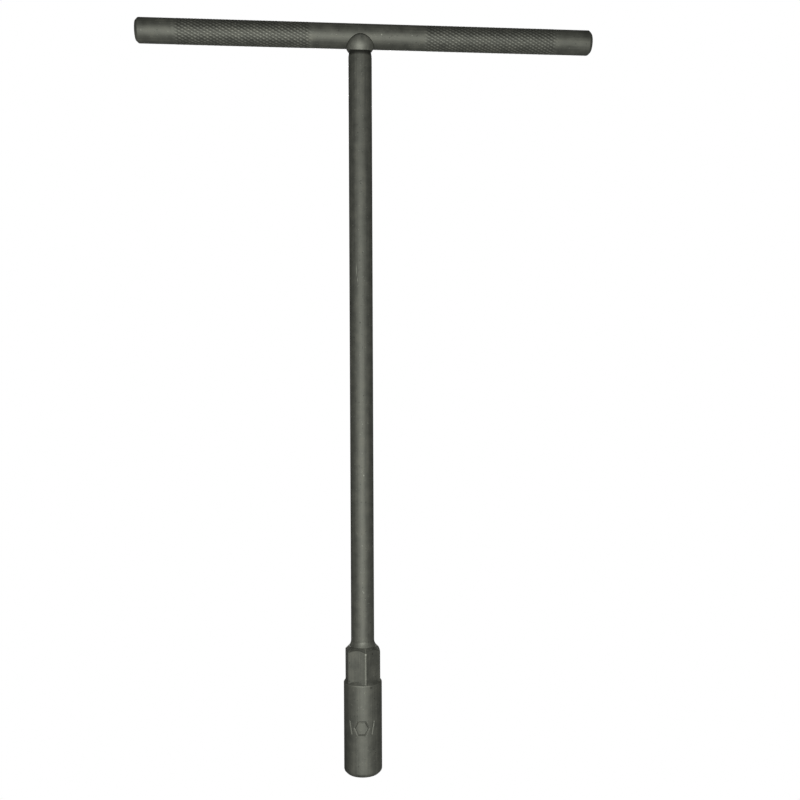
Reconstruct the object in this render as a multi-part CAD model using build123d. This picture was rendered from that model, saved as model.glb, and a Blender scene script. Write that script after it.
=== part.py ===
from build123d import *
import math
import os

# T-handle socket wrench for an 11 mm hexagon nut, all steel, in millimetres.
# The origin is the centre of the socket's mouth. +Z runs up the shaft to the
# handle, and +X runs along the cross bar.

# Socket, mouth at z = 0
NUT_FLATS = 11.0
BROACH_CLEARANCE = 0.15
BROACH_DEPTH = 12.0
MOUTH_BEVEL_ANGLE = 30.0
STUD_BORE_DIA = 10.4
STUD_BORE_DEPTH = 33.0
DRILL_POINT_ANGLE = 118.0
SOCKET_DIA = 16.5
SOCKET_ROUND_LENGTH = 39.7
SOCKET_END_CHAMFER = 1.4

# Spanner hexagon, milled on the top of the socket. The socket is welded on with
# its corners a few degrees off square to the cross bar.
SPANNER_FLATS = 14.0
HEXAGON_YAW = 6.5
RUN_OUT_LENGTH = 1.95
RUN_OUT_INNER_RADIUS = 6.9
HEX_TOP = 55.5
HEX_TOP_FACE_RADIUS = 5.95
HEX_TOP_CHAMFER_ANGLE = 45.0

# Weld ring where the shaft enters the socket, a fillet of two bevels
WELD_FOOT_RADIUS = 5.9
WELD_MIDDLE_RADIUS = 5.4
WELD_MIDDLE_HEIGHT = 0.9
WELD_TOP_RADIUS = 5.12
WELD_HEIGHT = 2.3

# Shaft
SHAFT_DIA = 10.0
SHAFT_TOP = 308.0
SOCKET_SPIGOT_DIA = 8.0
SOCKET_SPIGOT_LENGTH = 12.0
SADDLE_SPIGOT_DIA = 6.0
SADDLE_SPIGOT_LENGTH = 3.0

# Saddle, a turned ball head that cradles the cross bar
NECK_DIA = 9.24
NECK_TAPER = 2.6
BALL_RADIUS = 6.44
BALL_DROP = 4.05
UNDERCUT_ANGLE = 45.0

# Cross bar, welded on a little off its middle. Rolling the knurl raises its
# crests slightly above the plain bar.
BAR_DIA = 10.5
BAR_AXIS = 317.3
BAR_LENGTH = 195.0
BAR_OFFSET = 3.35
BAR_END_CHAMFER = 1.2
KNURL_DIA = 10.6
KNURL_INNER_END = 23.35
KNURL_OUTER_END = 82.25


def turned(corners):
    """Solid of revolution about Z through (radius, height) corners."""
    outline = Polyline(*corners, close=True)
    return revolve(Plane.XZ * make_face(outline), Axis.Z)


def hexagon_prism(flats, bottom, top):
    """Hexagonal prism about Z, two of its corners near +Y and -Y."""
    section = RegularPolygon(flats / 2, 6, major_radius=False, rotation=30 + HEXAGON_YAW)
    return Pos(0, 0, bottom) * extrude(section, top - bottom)


def make_socket():
    socket_radius = SOCKET_DIA / 2
    bevel_rise = math.tan(math.radians(HEX_TOP_CHAMFER_ANGLE))
    corner_radius = socket_radius + 1.0
    corner_height = HEX_TOP - (corner_radius - HEX_TOP_FACE_RADIUS) * bevel_rise
    run_out_top = SOCKET_ROUND_LENGTH + RUN_OUT_LENGTH

    round_part = turned([
        (0, 0),
        (socket_radius - SOCKET_END_CHAMFER, 0),
        (socket_radius, SOCKET_END_CHAMFER),
        (socket_radius, SOCKET_ROUND_LENGTH),
        (RUN_OUT_INNER_RADIUS, run_out_top),
        (0, run_out_top),
    ])
    bevelled_blank = turned([
        (0, SOCKET_ROUND_LENGTH - 1.0),
        (corner_radius, SOCKET_ROUND_LENGTH - 1.0),
        (corner_radius, corner_height),
        (HEX_TOP_FACE_RADIUS, HEX_TOP),
        (0, HEX_TOP),
    ])
    spanner_hex = hexagon_prism(SPANNER_FLATS, SOCKET_ROUND_LENGTH - 1.0, HEX_TOP)

    broach_flats = NUT_FLATS + BROACH_CLEARANCE
    broach = hexagon_prism(broach_flats, -1.0, BROACH_DEPTH)
    broach_corner = broach_flats / math.sqrt(3)
    bevel_depth = (broach_corner - broach_flats / 2) * math.tan(math.radians(MOUTH_BEVEL_ANGLE))
    mouth_bevel = turned([
        (0, 0),
        (broach_corner, 0),
        (broach_flats / 2, bevel_depth),
        (0, bevel_depth),
    ])
    bore_radius = STUD_BORE_DIA / 2
    point_length = bore_radius / math.tan(math.radians(DRILL_POINT_ANGLE / 2))
    stud_bore = turned([
        (0, 0),
        (bore_radius, 0),
        (bore_radius, STUD_BORE_DEPTH),
        (0, STUD_BORE_DEPTH + point_length),
    ])
    spigot_bore = Pos(0, 0, HEX_TOP - SOCKET_SPIGOT_LENGTH / 2) * Cylinder(
        SOCKET_SPIGOT_DIA / 2, SOCKET_SPIGOT_LENGTH)

    blank = round_part + (spanner_hex & bevelled_blank)
    return blank - broach - mouth_bevel - stud_bore - spigot_bore


def make_socket_weld():
    """Flared ring around the foot of the shaft."""
    return turned([
        (SHAFT_DIA / 2, HEX_TOP),
        (WELD_FOOT_RADIUS, HEX_TOP),
        (WELD_MIDDLE_RADIUS, HEX_TOP + WELD_MIDDLE_HEIGHT),
        (WELD_TOP_RADIUS, HEX_TOP + WELD_HEIGHT),
        (SHAFT_DIA / 2, HEX_TOP + WELD_HEIGHT),
    ])


def make_shaft():
    shaft_radius = SHAFT_DIA / 2
    return turned([
        (0, HEX_TOP - SOCKET_SPIGOT_LENGTH),
        (SOCKET_SPIGOT_DIA / 2, HEX_TOP - SOCKET_SPIGOT_LENGTH),
        (SOCKET_SPIGOT_DIA / 2, HEX_TOP),
        (shaft_radius, HEX_TOP),
        (shaft_radius, SHAFT_TOP),
        (SADDLE_SPIGOT_DIA / 2, SHAFT_TOP),
        (SADDLE_SPIGOT_DIA / 2, SHAFT_TOP + SADDLE_SPIGOT_LENGTH),
        (0, SHAFT_TOP + SADDLE_SPIGOT_LENGTH),
    ])


def make_cross_bar():
    """Round bar along X: plain middle, two knurled zones, plain ends with chamfers."""
    plain_radius = BAR_DIA / 2
    knurl_radius = KNURL_DIA / 2
    half_profile = [
        (plain_radius, KNURL_INNER_END),
        (knurl_radius, KNURL_INNER_END),
        (knurl_radius, KNURL_OUTER_END),
        (plain_radius, KNURL_OUTER_END),
        (plain_radius, BAR_LENGTH / 2 - BAR_END_CHAMFER),
        (plain_radius - BAR_END_CHAMFER, BAR_LENGTH / 2),
        (0, BAR_LENGTH / 2),
    ]
    other_half = [(radius, -station) for radius, station in reversed(half_profile)]
    bar = turned(half_profile + other_half)
    return Pos(BAR_OFFSET, 0, BAR_AXIS) * Rot(0, 90, 0) * bar


def make_saddle(bar):
    """Tapered neck, a bevel out to the ball, and the ball cut to the bar's curve."""
    neck_radius = NECK_DIA / 2
    neck_top = SHAFT_TOP + NECK_TAPER
    ball_centre = BAR_AXIS - BALL_DROP
    # Where the bevel from the neck meets the ball.
    slope = math.tan(math.radians(UNDERCUT_ANGLE))
    drop = ball_centre - neck_top
    a = 1 + slope ** 2
    b = -2 * (slope * (neck_radius * slope + drop))
    c = (neck_radius * slope + drop) ** 2 - BALL_RADIUS ** 2
    bevel_radius = (-b + math.sqrt(b ** 2 - 4 * a * c)) / (2 * a)
    bevel_top = neck_top + (bevel_radius - neck_radius) * slope

    stem = turned([
        (0, SHAFT_TOP),
        (SHAFT_DIA / 2, SHAFT_TOP),
        (neck_radius, neck_top),
        (bevel_radius, bevel_top),
        (0, bevel_top),
    ])
    ball = Pos(0, 0, ball_centre) * Sphere(BALL_RADIUS)
    below_bevel = Pos(0, 0, bevel_top - BALL_RADIUS) * Box(
        4 * BALL_RADIUS, 4 * BALL_RADIUS, 2 * BALL_RADIUS)
    spigot_bore = Pos(0, 0, SHAFT_TOP + SADDLE_SPIGOT_LENGTH / 2) * Cylinder(
        SADDLE_SPIGOT_DIA / 2, SADDLE_SPIGOT_LENGTH)
    return stem + (ball - below_bevel) - spigot_bore - bar


os.makedirs("parts", exist_ok=True)
cross_bar = make_cross_bar()
nodes = {
    "cross_bar": cross_bar,
    "bar_saddle": make_saddle(cross_bar),
    "shaft": make_shaft(),
    "socket_weld": make_socket_weld(),
    "socket": make_socket(),
}
for name, shape in nodes.items():
    export_step(shape, f"parts/{name}.step")
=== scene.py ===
import math

import bpy
import numpy as np
from mathutils import Matrix, Quaternion, Vector


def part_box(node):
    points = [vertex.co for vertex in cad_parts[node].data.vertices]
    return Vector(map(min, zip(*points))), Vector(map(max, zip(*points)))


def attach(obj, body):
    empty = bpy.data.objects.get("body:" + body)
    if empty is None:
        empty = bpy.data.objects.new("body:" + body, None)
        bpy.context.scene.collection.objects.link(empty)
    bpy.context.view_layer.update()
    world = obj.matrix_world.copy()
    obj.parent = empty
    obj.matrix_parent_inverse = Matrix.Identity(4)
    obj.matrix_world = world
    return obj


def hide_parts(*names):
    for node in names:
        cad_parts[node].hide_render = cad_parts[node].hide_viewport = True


# T-handle socket wrench. Lengths are in metres. The origin is the centre of the
# socket's mouth, +Z runs up the shaft, +X along the cross bar, and -Y is the front.

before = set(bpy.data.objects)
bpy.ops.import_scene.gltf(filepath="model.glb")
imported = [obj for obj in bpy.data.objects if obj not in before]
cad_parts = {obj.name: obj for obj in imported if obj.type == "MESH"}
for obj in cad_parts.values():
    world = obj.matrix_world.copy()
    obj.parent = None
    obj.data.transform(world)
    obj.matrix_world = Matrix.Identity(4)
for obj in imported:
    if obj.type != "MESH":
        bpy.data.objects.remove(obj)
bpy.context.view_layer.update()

MM = 0.001
TAU = 2 * math.pi

# ---------------------------------------------------------------- sizes

bar_low, bar_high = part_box("cross_bar")
shaft_low, shaft_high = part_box("shaft")
saddle_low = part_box("bar_saddle")[0]
weld_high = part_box("socket_weld")[1]
socket_low, socket_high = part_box("socket")

# Cross bar
BAR_AXIS = (bar_low[2] + bar_high[2]) / 2
BAR_MIDDLE = (bar_low[0] + bar_high[0]) / 2
BAR_HALF = (bar_high[0] - bar_low[0]) / 2
CREST_RADIUS = (bar_high[2] - bar_low[2]) / 2
BAR_RADIUS = CREST_RADIUS - 0.05 * MM
BAR_CHAMFER = 1.2 * MM
BAR_END_ROUNDING = 0.35 * MM
BAR_PLAIN_ROWS = (8, 10)

# Knurl: distances along the bar, grooves round it, depth of the two crossing sets
KNURL_INNER = 23.35 * MM
KNURL_OUTER = 82.25 * MM
KNURL_STARTS = 22
KNURL_PITCH = 2.59 * MM
KNURL_STEPS = 8
KNURL_DEPTHS = (0.19 * MM, 0.10 * MM)
KNURL_GROOVE = 0.38
# Its depth varies round the bar, as a share of the full depth.
KNURL_MEAN = 0.8
KNURL_SWING = 0.25
KNURL_DEEPEST = math.radians(70)
# Bare metal worn on the crests, more where the knurl is shallow; painted shade deeper in the grooves
CREST_FADE = 0.05 * MM
CREST_WEAR = 0.28
SHALLOW_WEAR = 0.7
GROOVE_SHADE = 0.75

# Saddle: neck, ball, and the undercut between them, which is a rising bevel at
# the two sides and turns down into a lip over the neck at the front and back
NECK_RADIUS = 4.62 * MM
NECK_HEIGHT = 2.6 * MM
NECK_CURVE = 1.8
BALL_FRONT = 6.75 * MM
BALL_SIDE = 6.0 * MM
BALL_DROP = 4.05 * MM
BALL_LIMIT = math.radians(70)
SIDE_UNDERCUT = 57.0
FRONT_UNDERCUT = -36.0
FRONT_SPREAD = 0.95
BACK_SPREAD = 3.0
UNDERCUT_ROUNDING = 0.2 * MM
# The ball's edge along the cross bar
LIP_HEIGHT = 0.35 * MM
SIDE_SINK = -0.2 * MM
RIM_DROP = 0.38 * MM
RIM_WIDTH = 1.1 * MM
SEAT_SINK = 0.2 * MM
SADDLE_ROWS = 84
SEAT_ROWS = 13
# Painted shade on the neck and in the groove round the ball, and light wear on the ball
NECK_FADE = (1.2 * MM, 0.5 * MM)
NECK_SHADE = 0.85
BALL_WEAR = 0.15

# Shaft, and the spigots hidden in the joints as (radius, length)
SHAFT_RADIUS = (shaft_high[0] - shaft_low[0]) / 2
SHAFT_TOP = saddle_low[2]
SHAFT_SEGMENTS = 240
SHAFT_ROWS = 60
SOCKET_SPIGOT = (4.0 * MM, 12.0 * MM)
SADDLE_SPIGOT = (3.0 * MM, 3.0 * MM)

# Weld bead
WELD_GAP = 0.02 * MM
WELD_ROWS = 14
WELD_CURVE = 1.8
WELD_RIPPLE = 0.12
WELD_WEAR = 0.55
WELD_INSIDE = SHAFT_RADIUS - 0.1 * MM

# Socket, outside
SOCKET_RADIUS = (socket_high[0] - socket_low[0]) / 2
HEX_TOP = socket_high[2]
HEXAGON_YAW = math.radians(30 + 6.5)
SPANNER_FLAT = 7.0 * MM
SPANNER_CORNER = 8.0 * MM
ROUND_TOP = 39.7 * MM
RUN_OUT_TOP = 41.65 * MM
RUN_OUT_RADIUS = 6.9 * MM
TOP_FACE_RADIUS = 5.95 * MM
TOP_BEVEL = math.tan(math.radians(45))
TOP_BEVEL_ZONE = 2.0 * MM
END_CHAMFER = 1.4 * MM
END_ROUNDING = 0.7 * MM
CORNER_BLEND = 0.12 * MM
RUN_OUT_BLEND = 0.06 * MM
TOP_BLEND = 0.08 * MM
SOCKET_SEGMENTS = 432
CORNER_WEAR = 0.6
CORNER_WEAR_ANGLE = math.radians(1.0)
EDGE_WEAR = (0.2, 0.4)
EDGE_WEAR_WIDTH = 0.3 * MM
CORNER_WEAR_START = 0.3 * MM
CORNER_WEAR_FADE = 0.5 * MM
END_FACE_INSIDE = 6.4 * MM
RUN_OUT_MARGINS = (0.4 * MM, 0.2 * MM)

# Socket, inside
NUT_FLAT = 5.575 * MM
BROACH_DEPTH = 12.0 * MM
MOUTH_RADIUS = 6.44 * MM
MOUTH_BEVEL = 0.5 * MM
STUD_RADIUS = 5.2 * MM
STUD_DEPTH = 33.0 * MM
STUD_POINT = STUD_RADIUS / math.tan(math.radians(59))

# Stamped mark on the socket
STAMP_HEIGHT = 21.7 * MM
STAMP_ANGLE = math.radians(-97)
STAMP_SIZE = 2.8 * MM
STAMP_TICKS = 5.0 * MM
STAMP_SLANT = 0.2
STAMP_STROKE = 0.34 * MM
STAMP_DEPTH = 0.3 * MM


# ---------------------------------------------------------------- mesh helpers

def softened(corners, radius, steps=3):
    """The same profile with each inner corner rounded off."""
    points = [np.array(p, float) for p in corners]
    out = [points[0]]
    for before, here, after in zip(points, points[1:], points[2:]):
        back = min(radius, 0.45 * np.linalg.norm(before - here))
        ahead = min(radius, 0.45 * np.linalg.norm(after - here))
        start = here + (before - here) / np.linalg.norm(before - here) * back
        end = here + (after - here) / np.linalg.norm(after - here) * ahead
        for k in range(steps + 1):
            t = k / steps
            out.append((1 - t) ** 2 * start + 2 * t * (1 - t) * here + t * t * end)
    out.append(points[-1])
    return np.array(out)


def band_faces(count, around):
    """Four-sided faces between neighbouring rings."""
    first = np.arange(count - 1)[:, None] * around
    j = np.arange(around)[None, :]
    n = (j + 1) % around
    corners = [first + j, first + n, first + around + n, first + around + j]
    return np.stack(corners, axis=-1).reshape(-1, 4).tolist()


def skin(name, rings, poles=None, sharp=35, wear_and_shade=None):
    """Closed surface through rings of points. The first and last ring each close
    on a pole, or without poles they are joined. Each point has a value, wear above 0 and painted shade
    below."""
    rings = np.asarray(rings)
    count, around, _ = rings.shape
    vertices = rings.reshape(-1, 3)
    faces = band_faces(count, around)
    last = (count - 1) * around
    if poles is None:
        faces += [[last + i, last + (i + 1) % around, (i + 1) % around, i] for i in range(around)]
    else:
        pole = len(vertices)
        vertices = np.concatenate([vertices, np.array(poles, float)])
        faces += [[pole, (i + 1) % around, i] for i in range(around)]
        faces += [[pole + 1, last + i, last + (i + 1) % around] for i in range(around)]
    mesh = bpy.data.meshes.new(name)
    mesh.from_pydata(vertices.tolist(), [], faces)
    mesh.validate()
    mesh.shade_smooth()
    mesh.set_sharp_from_angle(angle=math.radians(sharp))
    if wear_and_shade is not None:
        values = np.zeros(len(mesh.vertices), np.float32)
        values[:count * around] = np.asarray(wear_and_shade).reshape(-1)
        mesh.attributes.new("wear_and_shade", "FLOAT", "POINT").data.foreach_set("value", values)
    piece = bpy.data.objects.new(name, mesh)
    bpy.context.scene.collection.objects.link(piece)
    return piece


def place(piece, node, material):
    """Puts a piece in the place of a CAD node."""
    piece.data.materials.append(material)
    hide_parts(node)
    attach(piece, "root")


def round_angles(count, start=0.0):
    return np.arange(count) * TAU / count + start


def ring(radius, angles, height):
    """Ring of points about Z. The radius is one number or one for each angle."""
    return np.stack([radius * np.cos(angles), radius * np.sin(angles),
                     np.full(len(angles), height)], axis=-1)


def turned_rings(profile, angles):
    """Rings about Z for (radius, height) points."""
    return [ring(radius, angles, height) for radius, height in profile]


# ---------------------------------------------------------------- cross bar

def groove(position):
    """1 at the bottom of a V groove, 0 on the land between grooves."""
    distance = np.abs(position - np.round(position))
    return np.clip(1 - distance / KNURL_GROOVE, 0, 1)


def knurl_cut(angle, station):
    """Depth of the knurl at each angle for one station along the bar, its strength
    there, and the share of the full depth at each angle."""
    into = min(abs(station) - KNURL_INNER, KNURL_OUTER - abs(station))
    strength = min(max(into / KNURL_PITCH, 0), 1)
    turn = KNURL_STARTS * angle / TAU
    step = station / KNURL_PITCH
    cut = np.maximum(KNURL_DEPTHS[0] * groove(turn + step), KNURL_DEPTHS[1] * groove(turn - step))
    # The wheel ran a little off centre, so the pattern is deepest near the top.
    side = KNURL_MEAN + KNURL_SWING * np.cos(angle - KNURL_DEEPEST)
    return cut * strength * side, strength, side


def bar_row(angle, station):
    """Station, radius, and wear and painted shade of the bar at each angle for one station along it."""
    cut, strength, side = knurl_cut(angle, station)
    radius = BAR_RADIUS + (CREST_RADIUS - BAR_RADIUS) * strength - cut
    crest = np.clip(1 - cut / CREST_FADE, 0, 1)
    bright = CREST_WEAR + SHALLOW_WEAR * (1 - side)
    # Worn bare crests, and painted shade that deepens with the groove's depth
    wear_and_shade = strength * (bright * crest - GROOVE_SHADE * cut / KNURL_DEPTHS[0])
    return station, radius, wear_and_shade


def make_cross_bar():
    angles = round_angles(KNURL_STARTS * KNURL_STEPS)
    step = KNURL_PITCH / KNURL_STEPS
    end = softened([(0, BAR_HALF), (BAR_RADIUS - BAR_CHAMFER, BAR_HALF),
                    (BAR_RADIUS, BAR_HALF - BAR_CHAMFER), (BAR_RADIUS, BAR_HALF - 3 * BAR_CHAMFER)],
                   BAR_END_ROUNDING, 4)[1:-1]
    plain_out = np.linspace(BAR_HALF - 3 * BAR_CHAMFER, KNURL_OUTER + step, BAR_PLAIN_ROWS[0])
    knurled = np.arange(KNURL_OUTER, KNURL_INNER - step, -step)
    plain_in = np.linspace(KNURL_INNER - 2 * step, 0, BAR_PLAIN_ROWS[1])
    stations = [*plain_out, *knurled, *plain_in]
    clean = np.zeros(len(angles))
    rows = [(station, clean + radius, clean) for radius, station in end]
    rows += [bar_row(angles, station) for station in stations]
    rows += [bar_row(angles, -station) for station in reversed(stations[:-1])]
    rows += [(-station, clean + radius, clean) for radius, station in reversed(end)]
    rings = []
    for station, radius, _ in rows:
        x = np.full(len(angles), BAR_MIDDLE + station)
        rings.append(np.stack([x, -radius * np.cos(angles), BAR_AXIS + radius * np.sin(angles)], axis=-1))
    poles = [(BAR_MIDDLE + side * BAR_HALF, 0, BAR_AXIS) for side in (1, -1)]
    return skin("knurled_cross_bar", rings, poles, 50, [row[2] for row in rows])


# ---------------------------------------------------------------- saddle

def undercut_rise(angle):
    """Slope of the undercut at one angle. The lip over the neck runs farther round
    at the front than at the back."""
    spread = FRONT_SPREAD if math.sin(angle) < 0 else BACK_SPREAD
    lip = abs(math.sin(angle)) ** spread
    return math.radians(SIDE_UNDERCUT + (FRONT_UNDERCUT - SIDE_UNDERCUT) * lip)


def saddle_outline(angle):
    """(radius, height) points at one angle, from the shaft's top over the neck and up the ball."""
    toward_side = 1 - abs(math.sin(angle))
    ball_radius = BALL_FRONT - (BALL_FRONT - BALL_SIDE) * toward_side ** 2
    ball_centre = BAR_AXIS - BALL_DROP
    neck_top = SHAFT_TOP + NECK_HEIGHT
    # Where the undercut's straight line from the neck meets the ball.
    rise = undercut_rise(angle)
    away = (NECK_RADIUS, neck_top - ball_centre)
    half = away[0] * math.cos(rise) + away[1] * math.sin(rise)
    run = -half + math.sqrt(half ** 2 - away[0] ** 2 - away[1] ** 2 + ball_radius ** 2)
    first = math.asin((neck_top + run * math.sin(rise) - ball_centre) / ball_radius)
    latitudes = np.linspace(first, BALL_LIMIT, 110)
    ball = np.stack([ball_radius * np.cos(latitudes),
                     ball_centre + ball_radius * np.sin(latitudes)], axis=-1)
    taper = [(SHAFT_RADIUS - (SHAFT_RADIUS - NECK_RADIUS) * t ** NECK_CURVE,
              SHAFT_TOP + NECK_HEIGHT * t) for t in np.linspace(0, 1, 11)]
    foot = softened(taper[-2:] + [ball[0], ball[14]], UNDERCUT_ROUNDING, 6)
    return np.concatenate([taper[:-1], foot[1:-1], ball[15:]])


def seat_length(outline, along, angle):
    """Distance along the outline at which it comes down to a lip on the cross bar, at one angle."""
    y = outline[:, 0] * math.sin(angle)
    lip = SIDE_SINK + (LIP_HEIGHT - SIDE_SINK) * math.sin(angle) ** 2
    clearance = np.hypot(y, outline[:, 1] - BAR_AXIS) - (BAR_RADIUS + lip)
    first = int(np.argmax(clearance < 0))
    before, after = clearance[first - 1], clearance[first]
    return along[first - 1] + (along[first] - along[first - 1]) * before / (before - after)


def saddle_column(angle):
    """Points, and wear and painted shade, up the outside of the saddle at one angle."""
    outline = saddle_outline(angle)
    along = np.concatenate([[0], np.cumsum(np.linalg.norm(np.diff(outline, axis=0), axis=1))])
    reach = seat_length(outline, along, angle)
    share = np.linspace(0, 1, SADDLE_ROWS)
    radius = np.interp(share * reach, along, outline[:, 0])
    height = np.interp(share * reach, along, outline[:, 1])
    # The ball's edge rounds over into a groove along the bar.
    edge = np.clip(1 - (1 - share) * reach / RIM_WIDTH, 0, 1)
    radius -= RIM_DROP * math.sin(angle) ** 2 * (1 - np.sqrt(1 - edge ** 2))
    # Painted shade on the neck under the ball and in the groove round the ball's edge, light wear on the
    # ball above
    neck_length = math.hypot(NECK_HEIGHT, SHAFT_RADIUS - NECK_RADIUS)
    above = (share * reach - neck_length) / NECK_FADE[1]
    neck_shade = np.clip((height - SHAFT_TOP) / NECK_FADE[0], 0, 1) * np.clip(0.9 - above, 0, 1)
    wear_and_shade = BALL_WEAR * np.clip(above, 0, 1) - NECK_SHADE * np.maximum(neck_shade, edge ** 0.6)
    return np.stack([radius * math.cos(angle), radius * math.sin(angle), height], axis=-1), wear_and_shade


def saddle_seat(rim):
    """Rings from the ball's edge in to the middle of the hollow that the bar lies in."""
    seat_radius = BAR_RADIUS - SEAT_SINK
    swing = np.arctan2(rim[:, 1], BAR_AXIS - rim[:, 2])
    sunk = np.hypot(rim[:, 1], BAR_AXIS - rim[:, 2])
    seat = []
    for t in np.linspace(1, 0.06, SEAT_ROWS + 1)[1:]:
        depth = seat_radius + (sunk - seat_radius) * t
        seat.append(np.stack([t * rim[:, 0], depth * np.sin(t * swing),
                              BAR_AXIS - depth * np.cos(t * swing)], axis=-1))
    return seat, (0, 0, BAR_AXIS - seat_radius)


def make_saddle():
    angles = round_angles(SHAFT_SEGMENTS)
    columns, shades = zip(*[saddle_column(angle) for angle in angles])
    outside = np.stack(columns, axis=1)
    seat, top = saddle_seat(outside[-1])
    spigot_radius, spigot_length = SADDLE_SPIGOT
    hole = turned_rings([(spigot_radius, SHAFT_TOP + spigot_length), (spigot_radius, SHAFT_TOP)], angles)
    clean = np.zeros((1, len(angles)))
    wear_and_shade = np.concatenate([np.repeat(clean, len(hole), axis=0), np.stack(shades, axis=1),
                           np.repeat(clean, len(seat), axis=0)])
    rings = np.concatenate([hole, outside, seat])
    return skin("ball_saddle", rings, [(0, 0, SHAFT_TOP + spigot_length), top], 50, wear_and_shade)


# ---------------------------------------------------------------- shaft and weld

def make_shaft():
    foot = HEX_TOP - SOCKET_SPIGOT[1]
    tip = SHAFT_TOP + SADDLE_SPIGOT[1]
    corners = [(SOCKET_SPIGOT[0], foot), (SOCKET_SPIGOT[0], HEX_TOP), (SHAFT_RADIUS, HEX_TOP)]
    corners += [(SHAFT_RADIUS, z) for z in np.linspace(HEX_TOP, SHAFT_TOP, SHAFT_ROWS)[1:]]
    corners += [(SADDLE_SPIGOT[0], SHAFT_TOP), (SADDLE_SPIGOT[0], tip)]
    rings = turned_rings(corners, round_angles(SHAFT_SEGMENTS))
    return skin("round_shaft", rings, [(0, 0, foot), (0, 0, tip)])


def make_weld():
    """Flared bead around the foot of the shaft, a little uneven, bright where it was cleaned."""
    angles = round_angles(SHAFT_SEGMENTS)
    foot = HEX_TOP + WELD_GAP
    rise = weld_high[2] - HEX_TOP
    flare = weld_high[0] - SHAFT_RADIUS - WELD_GAP
    ripple = (np.sin(11 * angles) + 0.6 * np.sin(5 * angles + 1.3) - 1.6) / 3.2
    rings, wear_and_shade = [], []
    for t in np.linspace(0, 1, WELD_ROWS):
        radius = SHAFT_RADIUS + WELD_GAP + flare * (1 - t) ** WELD_CURVE * (1 + WELD_RIPPLE * ripple)
        rings.append(ring(radius, angles, foot + rise * t * 0.98))
        wear_and_shade.append(np.full(SHAFT_SEGMENTS, WELD_WEAR * (1 - t) ** 0.8))
    rings += turned_rings([(WELD_INSIDE, rings[-1][0, 2]), (WELD_INSIDE, foot)], angles)
    wear_and_shade += [np.zeros(SHAFT_SEGMENTS)] * 2
    return skin("weld_ring", rings, sharp=60, wear_and_shade=wear_and_shade)


# ---------------------------------------------------------------- socket

def hexagon_radius(angles, flat):
    """Radius of a hexagon about Z at each angle, turned by the hexagon's yaw."""
    sector = (angles - HEXAGON_YAW) % (TAU / 6) - TAU / 12
    return flat / np.cos(sector)


def smooth_max(a, b, blend):
    """Larger of two values, with a rounded change-over."""
    h = np.clip(0.5 + 0.5 * (a - b) / blend, 0, 1)
    return b + (a - b) * h + blend * h * (1 - h)


def smooth_min(a, b, blend):
    return -smooth_max(-a, -b, blend)


def stamp_depth(across, up):
    """Depth of a plain stamped mark: a hexagon outline between two slanting ticks."""
    outline = np.maximum(np.abs(up), np.abs(across) * math.cos(math.pi / 6) + np.abs(up) / 2)
    off_outline = np.abs(outline - STAMP_SIZE)
    off_ticks = (np.abs(np.abs(across) - STAMP_TICKS - STAMP_SLANT * up)
                 + max(0, abs(up) - STAMP_SIZE))
    return STAMP_DEPTH * np.clip(1 - np.minimum(off_outline, off_ticks) / STAMP_STROKE, 0, 1) ** 0.7


def socket_outside(angles, height):
    """Outer radius of the socket at each angle, at one height."""
    fade = (height - ROUND_TOP) / (RUN_OUT_TOP - ROUND_TOP)
    run_out = SOCKET_RADIUS + (RUN_OUT_RADIUS - SOCKET_RADIUS) * max(fade, -0.2)
    hexagon = hexagon_radius(angles, SPANNER_FLAT)
    corner = smooth_min(hexagon, np.full_like(hexagon, SPANNER_CORNER), CORNER_BLEND)
    shape = smooth_max(corner, np.full_like(corner, run_out), RUN_OUT_BLEND)
    blank = min(SOCKET_RADIUS, TOP_FACE_RADIUS + (HEX_TOP - height) / TOP_BEVEL)
    shape = smooth_min(shape, np.full_like(shape, blank), TOP_BLEND)
    across = ((angles - STAMP_ANGLE + math.pi) % TAU - math.pi) * SOCKET_RADIUS
    return shape - stamp_depth(across, height - STAMP_HEIGHT)


def socket_wear(angles, height):
    """Bare metal on the hexagon's corners and along the edge under the run-out."""
    off_corner = np.abs((angles - HEXAGON_YAW + TAU / 12) % (TAU / 6) - TAU / 12)
    on_hexagon = min(max((height - ROUND_TOP - CORNER_WEAR_START) / CORNER_WEAR_FADE, 0), 1)
    corner = CORNER_WEAR * np.clip(1.4 - off_corner / CORNER_WEAR_ANGLE, 0, 1) * on_hexagon
    brightest = EDGE_WEAR[0] + EDGE_WEAR[1] * np.clip(np.cos(3 * (angles - HEXAGON_YAW) + 0.6), 0, 1)
    edge = brightest * max(0, 1 - abs(height - ROUND_TOP) / EDGE_WEAR_WIDTH)
    return np.maximum(corner, edge)


def socket_heights():
    """Heights of the rings up the outside, closest at the mark, the run-out and the top bevel."""
    mark = STAMP_SIZE + 2 * STAMP_STROKE
    stops = [3 * END_CHAMFER, STAMP_HEIGHT - mark, STAMP_HEIGHT + mark,
             ROUND_TOP - RUN_OUT_MARGINS[0], RUN_OUT_TOP + RUN_OUT_MARGINS[1],
             HEX_TOP - TOP_BEVEL_ZONE, HEX_TOP]
    counts = [10, 46, 12, 34, 14, 26]
    heights = stops[:1]
    for low, high, count in zip(stops, stops[1:], counts):
        heights += list(np.linspace(low, high, count)[1:])
    return heights


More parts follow.
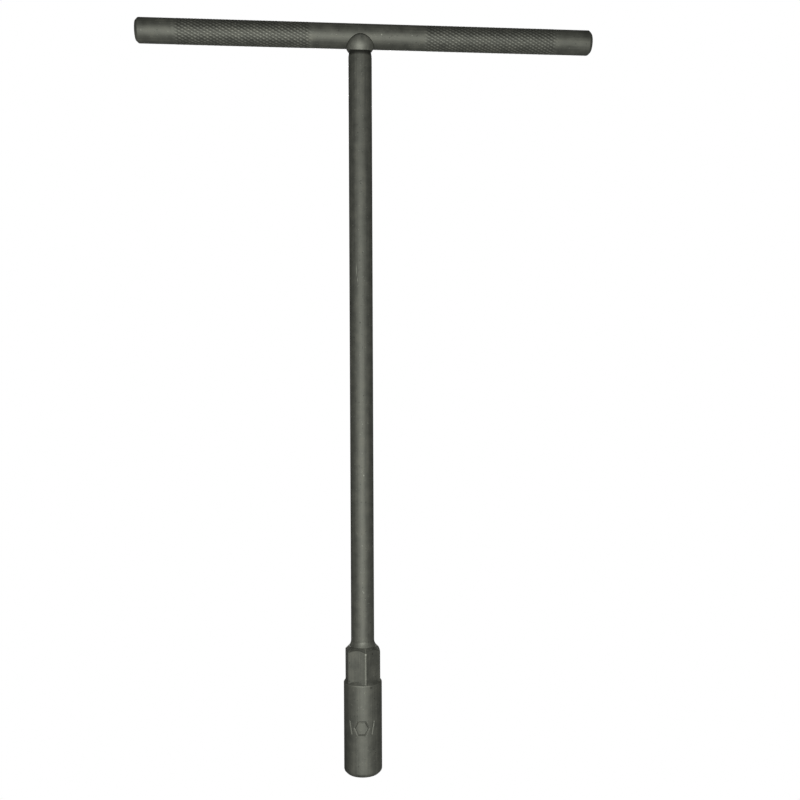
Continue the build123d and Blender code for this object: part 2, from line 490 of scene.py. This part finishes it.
def make_socket():
    """Skin from the drill point down the bore and mouth, round the end and up the outside."""
    angles = round_angles(SOCKET_SEGMENTS, HEXAGON_YAW)
    nut = hexagon_radius(angles, NUT_FLAT)
    cavity = turned_rings([(STUD_RADIUS, STUD_DEPTH), (STUD_RADIUS, BROACH_DEPTH)], angles)
    cavity += [ring(nut, angles, z) for z in np.linspace(BROACH_DEPTH, MOUTH_BEVEL, 6)]
    cavity += [ring(np.maximum(nut, MOUTH_RADIUS - (MOUTH_RADIUS - NUT_FLAT) * t), angles, MOUTH_BEVEL * t)
               for t in np.linspace(1, 0, 6)[1:]]
    end = softened([(END_FACE_INSIDE, 0), (SOCKET_RADIUS - END_CHAMFER, 0),
                    (SOCKET_RADIUS, END_CHAMFER), (SOCKET_RADIUS, 3 * END_CHAMFER)], END_ROUNDING, 5)[1:-1]
    heights = socket_heights()
    outside = [ring(socket_outside(angles, height), angles, height) for height in heights]
    spigot_radius, spigot_length = SOCKET_SPIGOT
    hole = turned_rings([(spigot_radius, HEX_TOP), (spigot_radius, HEX_TOP - spigot_length)], angles)
    clean = [np.zeros(SOCKET_SEGMENTS)]
    wear_and_shade = clean * (len(cavity) + len(end))
    wear_and_shade += [socket_wear(angles, height) for height in heights] + clean * len(hole)
    rings = cavity + turned_rings(end, angles) + outside + hole
    poles = [(0, 0, STUD_DEPTH + STUD_POINT), (0, 0, HEX_TOP - spigot_length)]
    return skin("hex_socket", rings, poles, 32, wear_and_shade)


# ---------------------------------------------------------------- materials

# Stretch of the drawing lines along the shaft, and along the cross bar
ALONG_Z = (1500, 1500, 25)
ALONG_X = (25, 1500, 1500)

# Noise scales, and each noise's share of the coat's tone
MOTTLE_SCALE = 260
CRYSTAL_SCALE = 5200
SPECK_SCALE = 1500
PIT_SCALE = 1100
MOTTLE_SHARE = 0.45
LINE_SHARE = 0.35
CRYSTAL_SHARE = 0.2

# Shades, as multiples of the coat's own grey level
BARE_SHADE = 3.2
PAINTED_SHADE_LEVEL = 0.2
SPECK_SHADE = 2.6
PIT_SHADE = 0.3
LIGHT_MARK_SHADE = 3.0
DARK_MARK_SHADE = 0.2

METALLIC = 0.75
BUMP_DEPTH = 0.06 * MM
BUMP_STRENGTH = 0.25


class Nodes:
    """Short names for building a node tree."""

    def __init__(self, name):
        self.material = bpy.data.materials.new(name)
        self.material.use_nodes = True
        self.tree = self.material.node_tree
        self.shader = self.tree.nodes["Principled BSDF"]

    def add(self, kind, inputs=None, **settings):
        node = self.tree.nodes.new(kind)
        for key, value in settings.items():
            setattr(node, key, value)
        for key, value in (inputs or {}).items():
            if hasattr(value, "is_output"):
                self.tree.links.new(value, node.inputs[key])
            else:
                node.inputs[key].default_value = value
        return node

    def math(self, operation, a, b, clamp=False):
        return self.add("ShaderNodeMath", {0: a, 1: b}, operation=operation, use_clamp=clamp).outputs[0]

    def vector(self, operation, a, b):
        return self.add("ShaderNodeVectorMath", {0: a, 1: b}, operation=operation).outputs[0]

    def remap(self, value, low, high, start, end):
        """Start where the value is low and end where it is high, with a straight change between."""
        node = self.add("ShaderNodeMapRange", {"Value": value, "From Min": low, "From Max": high,
                                               "To Min": start, "To Max": end})
        return node.outputs[0]

    def mix(self, share, color, other):
        return self.add("ShaderNodeMix", {0: share, 6: color, 7: other}, data_type="RGBA").outputs[2]

    def noise(self, vector, scale, detail, roughness=0.55):
        node = self.add("ShaderNodeTexNoise", {"Vector": vector, "Scale": scale, "Detail": detail,
                                               "Roughness": roughness})
        return node.outputs["Fac"]

    def stretch(self, vector, scale):
        return self.add("ShaderNodeMapping", {"Vector": vector, "Scale": scale}).outputs[0]

    def ramp(self, factor, stops):
        node = self.add("ShaderNodeValToRGB", {"Fac": factor})
        elements = node.color_ramp.elements
        elements[0].position, elements[0].color = stops[0]
        elements[1].position, elements[1].color = stops[-1]
        for position, color in stops[1:-1]:
            elements.new(position).color = color
        return node.outputs["Color"]

    def fleck(self, vector, centre, size):
        """1 at the centre of a small ellipsoid on the surface, fading to 0 at its edge."""
        away = self.vector("SUBTRACT", vector, centre)
        scaled = self.vector("MULTIPLY", away, tuple(1 / s for s in size))
        far = self.add("ShaderNodeVectorMath", {0: scaled}, operation="LENGTH").outputs["Value"]
        return self.math("SUBTRACT", 1.0, far, clamp=True)


def grey(level, warmth=0.0):
    """Slightly green grey, as an opaque colour."""
    return (level * (1 + warmth), level * 1.03, level * (0.87 - warmth), 1.0)


def worn_and_shaded(n, color, level, mottle):
    """Bare metal where the mesh's value is positive, in patches, and painted shade where it is negative.
    """
    wear_and_shade = n.add("ShaderNodeAttribute", attribute_name="wear_and_shade").outputs["Fac"]
    bare = n.math("MULTIPLY", wear_and_shade, n.remap(mottle, 0.35, 0.6, 0.4, 1.0), clamp=True)
    painted_shade = n.math("MULTIPLY", wear_and_shade, -1.0, clamp=True)
    color = n.mix(bare, color, grey(level * BARE_SHADE))
    return n.mix(painted_shade, color, grey(level * PAINTED_SHADE_LEVEL))


def specked(n, color, level, position):
    """Pale specks and dark pits, scattered all over."""
    specks = n.remap(n.noise(position, SPECK_SCALE, 1, 0.5), 0.7, 0.78, 0.0, 0.5)
    color = n.mix(specks, color, grey(level * SPECK_SHADE))
    pits = n.remap(n.noise(position, PIT_SCALE, 1, 0.5), 0.3, 0.22, 0.0, 0.7)
    return n.mix(pits, color, grey(level * PIT_SHADE))


def marked(n, color, shade, position, marks):
    """Single marks, each a centre and half size in millimetres, and a strength."""
    for centre, size, strength in marks:
        spot = n.fleck(position, tuple(c * MM for c in centre), tuple(s * MM for s in size))
        color = n.mix(n.math("MULTIPLY", spot, strength), color, shade)
    return color


def phosphate(name, level, along, roughness, light=(), dark=()):
    """Dark phosphate coat on drawn or turned steel; along is the stretch of the drawing lines."""
    n = Nodes(name)
    position = n.add("ShaderNodeTexCoord").outputs["Object"]
    mottle = n.noise(position, MOTTLE_SCALE, 4)
    crystals = n.noise(position, CRYSTAL_SCALE, 2, 0.7)
    lines = n.noise(n.stretch(position, along), 1.0, 3, 0.6)
    blend = n.math("ADD", n.math("MULTIPLY", mottle, MOTTLE_SHARE), n.math("MULTIPLY", lines, LINE_SHARE))
    blend = n.math("ADD", blend, n.math("MULTIPLY", crystals, CRYSTAL_SHARE))

    color = n.ramp(blend, [(0.34, grey(level * 0.72)), (0.5, grey(level)),
                           (0.66, grey(level * 1.35, 0.02))])
    color = worn_and_shaded(n, color, level, mottle)
    color = specked(n, color, level, position)
    color = marked(n, color, grey(level * LIGHT_MARK_SHADE), position, light)
    color = marked(n, color, grey(level * DARK_MARK_SHADE), position, dark)
    n.tree.links.new(color, n.shader.inputs["Base Color"])

    rough = n.remap(blend, 0.35, 0.65, roughness - 0.05, roughness + 0.07)
    n.tree.links.new(rough, n.shader.inputs["Roughness"])
    height = n.math("ADD", n.math("MULTIPLY", crystals, 0.6), n.math("MULTIPLY", lines, 0.4))
    bump = n.add("ShaderNodeBump", {"Height": height, "Strength": BUMP_STRENGTH, "Distance": BUMP_DEPTH})
    n.tree.links.new(bump.outputs[0], n.shader.inputs["Normal"])
    n.shader.inputs["Metallic"].default_value = METALLIC
    return n.material


def bar_steel():
    light = [((8.9, -5.2, 316.7), (0.35, 0.6, 0.45), 1.0), ((21.9, -5.2, 316.6), (0.3, 0.6, 0.3), 0.8),
             ((14.6, -5.2, 316.2), (0.3, 0.6, 0.2), 0.5), ((-9.0, 4.9, 319.0), (0.5, 0.6, 0.3), 0.8)]
    # Painted shade towards both ends of the bar
    shaded_ends = [((x, -2.0, 321.0), (12.0, 8.0, 7.0), 0.45) for x in (101.0, -94.3)]
    return phosphate("phosphate_bar", 0.15, ALONG_X, 0.62, light, shaded_ends)


def saddle_steel():
    return phosphate("phosphate_saddle", 0.16, ALONG_Z, 0.58)


def shaft_steel():
    light = [((-2.25, -4.46, 217.3), (0.22, 0.8, 3.2), 0.9), ((-1.75, -4.7, 213.0), (0.2, 0.8, 1.4), 0.6),
             ((0.5, -4.97, 129.6), (0.4, 0.6, 0.5), 0.8), ((0.3, -4.98, 79.2), (0.35, 0.6, 0.4), 0.7),
             ((3.6, 3.5, 150.0), (0.3, 0.3, 2.2), 0.7), ((-3.9, 3.1, 95.0), (0.4, 0.4, 0.5), 0.7)]
    dark = [((-0.8, -4.93, 194.8), (0.4, 0.6, 0.5), 0.9), ((1.5, 4.75, 240.0), (0.4, 0.6, 0.5), 0.8)]
    return phosphate("phosphate_shaft", 0.14, ALONG_Z, 0.62, light, dark)


def weld_steel():
    return phosphate("phosphate_weld", 0.14, ALONG_Z, 0.55)


def socket_steel():
    light = [((0.92, -8.0, 53.2), (0.5, 0.6, 0.5), 0.8)]
    # The first dark mark is painted shade down the socket's left side; the other two are small dark spots.
    dark = [((-8.4, -2.0, 6.0), (4.5, 8.0, 45.0), 0.6), ((3.05, -7.66, 38.9), (0.6, 0.9, 0.6), 0.9),
            ((-2.0, 7.9, 12.0), (0.5, 0.9, 0.5), 0.8)]
    return phosphate("phosphate_socket", 0.15, ALONG_Z, 0.62, light, dark)


# ---------------------------------------------------------------- floor, lights, camera

FLOOR_DROP = 0.30
FLOOR_HALF = 12.0
FLOOR_GLOW = 0.17
ROOM_GLOW = 0.1

CAMERA_AZIMUTH = math.radians(-5.45)
CAMERA_PITCH = math.radians(-1.31)
CAMERA_ROLL = math.radians(-0.205)
CAMERA_DISTANCE = 430.0 * MM
AIM_ASIDE = 16.58 * MM
AIM_HEIGHT = 161.68 * MM
CAMERA_CLIP = 0.01
FOCAL_PER_WIDTH = 1.245625
SENSOR_WIDTH = 36

# Lights: distance from the shaft's middle, shift from there, size and power
FRONT_DISTANCE = 0.62
FRONT_SHIFT = (-0.025, 0, -0.09)
FRONT_SIZE = (0.4, 0.5)
FRONT_POWER = 3.8
FRONT_ROLL = 35
BACK_DISTANCE = 0.7
BACK_SHIFT = (0, 0, 0.38)
BACK_SIZE = (0.16, 0.16)
BACK_POWER = 4.6


def lit_background(tree, output_kind, light_kind, glow):
    """White where the camera sees it, and a dim grey glow on the object."""
    tree.nodes.clear()
    output = tree.nodes.new(output_kind)
    mix = tree.nodes.new("ShaderNodeMixShader")
    path = tree.nodes.new("ShaderNodeLightPath")
    tree.links.new(path.outputs["Is Camera Ray"], mix.inputs[0])
    for socket, strength in ((1, glow), (2, 1.0)):
        light = tree.nodes.new(light_kind)
        light.inputs["Strength"].default_value = strength
        light.inputs["Color"].default_value = (1, 1, 1, 1)
        tree.links.new(light.outputs[0], mix.inputs[socket])
    tree.links.new(mix.outputs[0], output.inputs[0])


def make_floor():
    signs = ((-1, -1), (1, -1), (1, 1), (-1, 1))
    corners = [(x * FLOOR_HALF, y * FLOOR_HALF, -FLOOR_DROP) for x, y in signs]
    mesh = bpy.data.meshes.new("floor")
    mesh.from_pydata(corners, [], [(0, 1, 2, 3)])
    floor = bpy.data.objects.new("floor", mesh)
    bpy.context.scene.collection.objects.link(floor)
    material = bpy.data.materials.new("pale_floor")
    material.use_nodes = True
    lit_background(material.node_tree, "ShaderNodeOutputMaterial", "ShaderNodeEmission", FLOOR_GLOW)
    floor.data.materials.append(material)


def make_world():
    world = bpy.data.worlds.new("studio")
    bpy.context.scene.world = world
    world.use_nodes = True
    lit_background(world.node_tree, "ShaderNodeOutputWorld", "ShaderNodeBackground", ROOM_GLOW)


def make_camera():
    a, p = CAMERA_AZIMUTH, CAMERA_PITCH
    forward = Vector((-math.sin(a) * math.cos(p), math.cos(a) * math.cos(p), math.sin(p)))
    right = Vector((math.cos(a), math.sin(a), 0))
    up = right.cross(forward)
    data = bpy.data.cameras.new("camera")
    data.sensor_width = SENSOR_WIDTH
    data.lens = SENSOR_WIDTH * FOCAL_PER_WIDTH
    data.clip_start = CAMERA_CLIP
    camera = bpy.data.objects.new("camera", data)
    aim = Vector((0, 0, AIM_HEIGHT)) + right * AIM_ASIDE
    turn = Matrix((right, up, -forward)).transposed() @ Matrix.Rotation(CAMERA_ROLL, 3, "Z")
    camera.matrix_world = Matrix.Translation(aim - forward * CAMERA_DISTANCE) @ turn.to_4x4()
    bpy.context.scene.collection.objects.link(camera)
    bpy.context.scene.camera = camera
    return camera


def soft_light(name, location, target, size, power, roll=0.0):
    data = bpy.data.lights.new(name, "AREA")
    data.shape = "RECTANGLE"
    data.size, data.size_y = size
    data.energy = power
    lamp = bpy.data.objects.new(name, data)
    lamp.location = location
    lamp.rotation_mode = "QUATERNION"
    facing = (location - target).to_track_quat("Z", "Y")
    lamp.rotation_quaternion = facing @ Quaternion((0, 0, 1), math.radians(roll))
    lamp.visible_camera = False
    bpy.context.scene.collection.objects.link(lamp)


def make_lights(camera):
    """Large soft light near the camera, and a smaller one high behind the tool."""
    middle = Vector((0.0, 0.0, AIM_HEIGHT))
    toward = (camera.matrix_world.translation - middle).normalized()
    front = middle + toward * FRONT_DISTANCE + Vector(FRONT_SHIFT)
    soft_light("front", front, middle, FRONT_SIZE, FRONT_POWER, FRONT_ROLL)
    back = middle - toward * BACK_DISTANCE + Vector(BACK_SHIFT)
    soft_light("back", back, middle, BACK_SIZE, BACK_POWER)


# ---------------------------------------------------------------- scene

place(make_cross_bar(), "cross_bar", bar_steel())
place(make_saddle(), "bar_saddle", saddle_steel())
place(make_shaft(), "shaft", shaft_steel())
place(make_weld(), "socket_weld", weld_steel())
place(make_socket(), "socket", socket_steel())

make_floor()
make_world()
make_lights(make_camera())
bpy.context.scene.view_settings.view_transform = "Standard"
